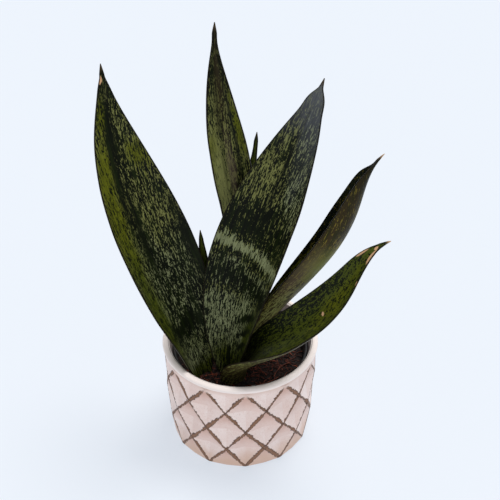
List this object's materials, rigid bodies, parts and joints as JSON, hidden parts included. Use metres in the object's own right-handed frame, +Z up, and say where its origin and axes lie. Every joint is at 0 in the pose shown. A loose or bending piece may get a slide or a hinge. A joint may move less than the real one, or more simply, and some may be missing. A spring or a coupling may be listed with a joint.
{
  "type": "potted snake plant",
  "caption": "Broad-leaf snake plant with mottled folded leaves in a black nursery pot, standing in a glazed ceramic cover pot with a relief of diamonds.",
  "frame": {"origin": "centre of the cover pot's flat base, on the surface it stands on", "axes": "+Z up along the pot's axis; -Y towards the front, the side where the lower right leaf hangs out over the rim; +X to the right of someone facing that side"},
  "size_m": [0.22, 0.164, 0.3547],
  "materials": {
    "glazed_stoneware": "pale pink-cream glaze, brown where it breaks over the ridges",
    "black_plastic": "satin moulded",
    "potting_soil": "loose, fibrous, matt",
    "rootstock_tissue": "matt, ringed",
    "leaf_blade": "waxy, mottled dark green with pale bands",
    "coir_fibre": "matt fibre",
    "bark": "rough, matt",
    "grit": "matt"
  },
  "bodies": {
    "root": {"cover_pot": "glazed_stoneware", "nursery_pot": "black_plastic", "soil": "potting_soil", "rootstock": "rootstock_tissue", "leaf_left": "leaf_blade", "leaf_center": "leaf_blade", "leaf_back": "leaf_blade", "leaf_right_upper": "leaf_blade", "leaf_right_lower": "leaf_blade", "young_leaf_back": "leaf_blade", "young_leaf_left": "leaf_blade", "coir_strand_1": "coir_fibre", "coir_strand_2": "coir_fibre", "coir_strand_3": "coir_fibre", "coir_strand_4": "coir_fibre", "coir_strand_5": "coir_fibre", "coir_strand_6": "coir_fibre", "bark_chip_1": "bark", "bark_chip_2": "bark", "bark_chip_3": "bark", "grit_grain_1": "grit"}
  },
  "joints": []
}
